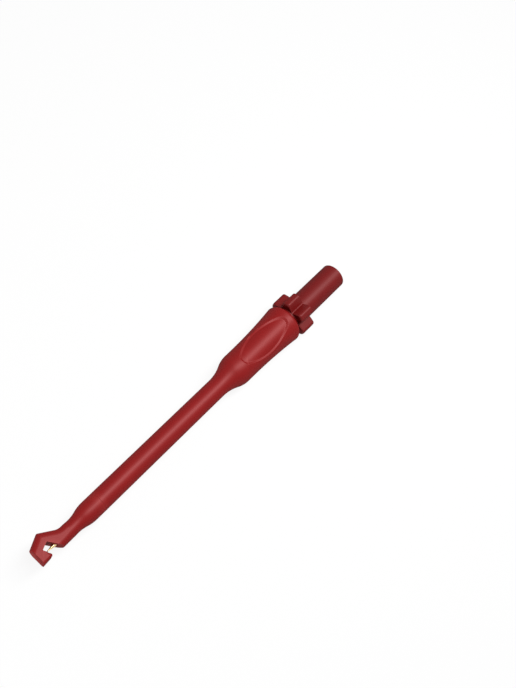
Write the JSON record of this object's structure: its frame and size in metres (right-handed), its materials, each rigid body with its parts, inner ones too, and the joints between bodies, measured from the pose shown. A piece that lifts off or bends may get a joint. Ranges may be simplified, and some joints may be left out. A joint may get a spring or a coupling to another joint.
{
  "type": "test hook probe",
  "caption": "Slim insulated test probe with a flat hook head whose needle pierces a single wire, driven by a star knob, with a shrouded 4 mm socket at the rear.",
  "frame": {"origin": "middle of the bounding box at its bottom, with the probe's long axis above it", "axes": "+X along the probe from the hook's front edge to the mouth of the socket, +Y towards the back of the hook, so the wire gap opens towards -Y, +Z square to the flat faces of the hook"},
  "size_m": [0.153, 0.0156, 0.0147],
  "materials": {
    "red_plastic": "moulded, satin gloss",
    "knob_plastic": "moulded, satin gloss",
    "sleeve_plastic": "moulded, plain",
    "brass": "turned",
    "gold_plate": "gold plated",
    "steel": "drawn",
    "rubber": "moulded"
  },
  "bodies": {
    "housing": {"hook_tip": "red_plastic", "housing": "red_plastic", "guide_tube": "steel", "needle_bush": "brass", "nut_insert": "brass"},
    "needle_drive": {"needle": "gold_plate", "needle_ferrule": "brass", "push_rod": "steel", "rod_head": "brass", "guide_pin": "steel", "return_spring": "steel", "thrust_ball": "steel"},
    "knob": {"star_knob": "knob_plastic", "spindle": "brass", "stop_ring": "steel", "seal_ring": "rubber", "contact_socket": "gold_plate", "socket_sleeve": "sleeve_plastic"}
  },
  "joints": [
    {"name": "needle_slide", "type": "slide", "parent": "housing", "child": "needle_drive", "axis": [1, 0, 0], "range_m": [0, 0.004], "deforming": ["return_spring"]},
    {"name": "knob_turn", "type": "hinge", "parent": "needle_drive", "child": "knob", "pos_m": [0.05, 0, 0.00735], "axis": [1, 0, 0], "range_deg": [0, 720]}
  ],
  "couplings": [
    {"joint": "knob_turn", "follows": "needle_slide", "rad_per_m": 3141.6}
  ]
}
